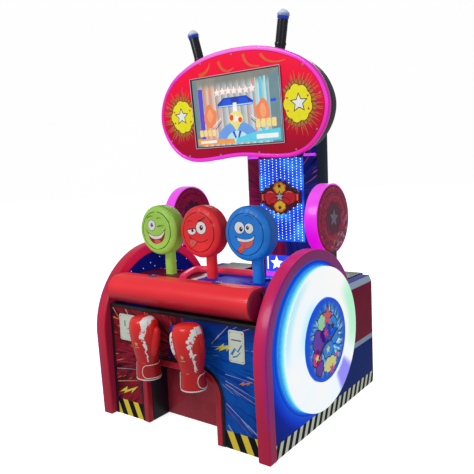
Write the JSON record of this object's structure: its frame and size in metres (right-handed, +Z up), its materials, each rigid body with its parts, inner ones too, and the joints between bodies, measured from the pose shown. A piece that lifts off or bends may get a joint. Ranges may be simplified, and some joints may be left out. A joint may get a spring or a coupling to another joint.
{
  "type": "children's boxing punch machine",
  "caption": "Free-standing children's arcade boxing machine with tilting padded face targets, lit arch sides, a leaning bean-shaped screen head, and gloves on pegs.",
  "frame": {"origin": "middle of the machine's footprint, on the floor", "axes": "+X to the player's right, +Y away from the player towards the back, +Z up; the front faces -Y"},
  "size_m": [1.1046, 1.1902, 1.9155],
  "materials": {
    "rim_red": "glossy moulded edging",
    "side_navy": "board with printed gloss vinyl",
    "ring_glow": "lit opal diffuser",
    "disc_art": "printed lit disc",
    "front_print": "board with printed gloss vinyl",
    "trim_black": "satin black moulding",
    "band_red": "glossy moulded edging",
    "board_red": "painted board",
    "roll_red": "stretched vinyl over foam",
    "bezel_blue": "glossy",
    "button_blue": "glossy with a metal cap",
    "deck_blue": "board with printed gloss vinyl",
    "rail_red": "glossy",
    "well_navy": "painted board",
    "base_dark": "raw dark board",
    "pad_green": "vinyl over foam",
    "pad_red": "vinyl over foam",
    "pad_blue": "vinyl over foam",
    "steel": "brushed",
    "frame_steel": "powder coated",
    "shell_dark": "painted board",
    "door_dark": "painted board",
    "column_navy": "board with printed gloss vinyl",
    "curtain_blue": "lit panel of small lamps",
    "emblem_red": "printed panel",
    "sign_blue": "lit panel",
    "neon_pink": "lit silicone tube",
    "head_red": "printed panel",
    "casing_black": "satin",
    "bezel_black": "satin",
    "screen": "lit screen",
    "antenna_black": "satin",
    "lamp_clear": "lit clear dome",
    "drum_art": "printed faces",
    "drum_glow": "lit diffuser band",
    "glove_red": "gloss vinyl over foam",
    "plate_pale": "satin",
    "inlet_black": "satin",
    "box_grey": "satin"
  },
  "bodies": {
    "cabinet": {"side_rim_left": "rim_red", "side_rim_right": "rim_red", "side_core_left": "side_navy", "side_core_right": "side_navy", "ring_light_left": "ring_glow", "ring_light_right": "ring_glow", "ring_disc_left": "disc_art", "ring_disc_right": "disc_art", "front_board": "front_print", "front_trim": "trim_black", "recess_liner": "trim_black", "recess_band": "band_red", "recess_back": "board_red", "front_roll": "roll_red", "button_bezel_left": "bezel_blue", "button_bezel_right": "bezel_blue", "deck": "deck_blue", "deck_rail": "rail_red", "well_board": "well_navy", "base_board": "base_dark", "spring_left": "steel", "spring_middle": "steel", "spring_right": "steel", "glove_peg_left": "steel", "glove_peg_right": "steel", "pivot_frame": "frame_steel", "rear_shell": "shell_dark", "column": "column_navy", "led_curtain": "curtain_blue", "emblem": "emblem_red", "lit_sign": "sign_blue", "head_neon": "neon_pink", "head_panel": "head_red", "head_casing": "casing_black", "screen_bezel": "bezel_black", "monitor": "screen", "antenna_left": "antenna_black", "antenna_right": "antenna_black", "antenna_lamp_left": "lamp_clear", "antenna_lamp_right": "lamp_clear", "drum_left": "drum_art", "drum_right": "drum_art", "drum_band_left": "drum_glow", "drum_band_right": "drum_glow", "card_plate_left": "plate_pale", "card_plate_right": "plate_pale", "power_inlet": "inlet_black", "control_box": "box_grey"},
    "left_target": {"target_left": "pad_green", "arm_left": "steel"},
    "middle_target": {"target_middle": "pad_red", "arm_middle": "steel"},
    "right_target": {"target_right": "pad_blue", "arm_right": "steel"},
    "left_button": {"button_left": "button_blue"},
    "right_button": {"button_right": "button_blue"},
    "left_glove": {"glove_left": "glove_red"},
    "right_glove": {"glove_right": "glove_red"},
    "service_door": {"rear_door": "door_dark"}
  },
  "joints": [
    {"name": "left_target_tilt", "type": "hinge", "parent": "cabinet", "child": "left_target", "pos_m": [-0.268, -0.18832, 0.615], "axis": [-1, 0, 0], "range_deg": [0, 25], "stiffness_Nm_per_rad": 60, "springref_deg": -8.59},
    {"name": "middle_target_tilt", "type": "hinge", "parent": "cabinet", "child": "middle_target", "pos_m": [0, -0.18832, 0.615], "axis": [-1, 0, 0], "range_deg": [0, 25], "stiffness_Nm_per_rad": 60, "springref_deg": -8.59},
    {"name": "right_target_tilt", "type": "hinge", "parent": "cabinet", "child": "right_target", "pos_m": [0.268, -0.18832, 0.615], "axis": [-1, 0, 0], "range_deg": [0, 25], "stiffness_Nm_per_rad": 60, "springref_deg": -8.59},
    {"name": "left_button_press", "type": "slide", "parent": "cabinet", "child": "left_button", "axis": [0, 0, -1], "range_m": [0, 0.004], "stiffness_N_per_m": 400, "springref_m": -0.002},
    {"name": "right_button_press", "type": "slide", "parent": "cabinet", "child": "right_button", "axis": [0, 0, -1], "range_m": [0, 0.004], "stiffness_N_per_m": 400, "springref_m": -0.002},
    {"name": "left_glove_pull", "type": "slide", "parent": "cabinet", "child": "left_glove", "axis": [0, -1, 0], "range_m": [0, 0.12]},
    {"name": "right_glove_pull", "type": "slide", "parent": "cabinet", "child": "right_glove", "axis": [0, -1, 0], "range_m": [0, 0.12]},
    {"name": "service_door_swing", "type": "hinge", "parent": "cabinet", "child": "service_door", "pos_m": [-0.206, 0.56068, 0.255], "axis": [0, 0, 1], "range_deg": [0, 100]}
  ]
}
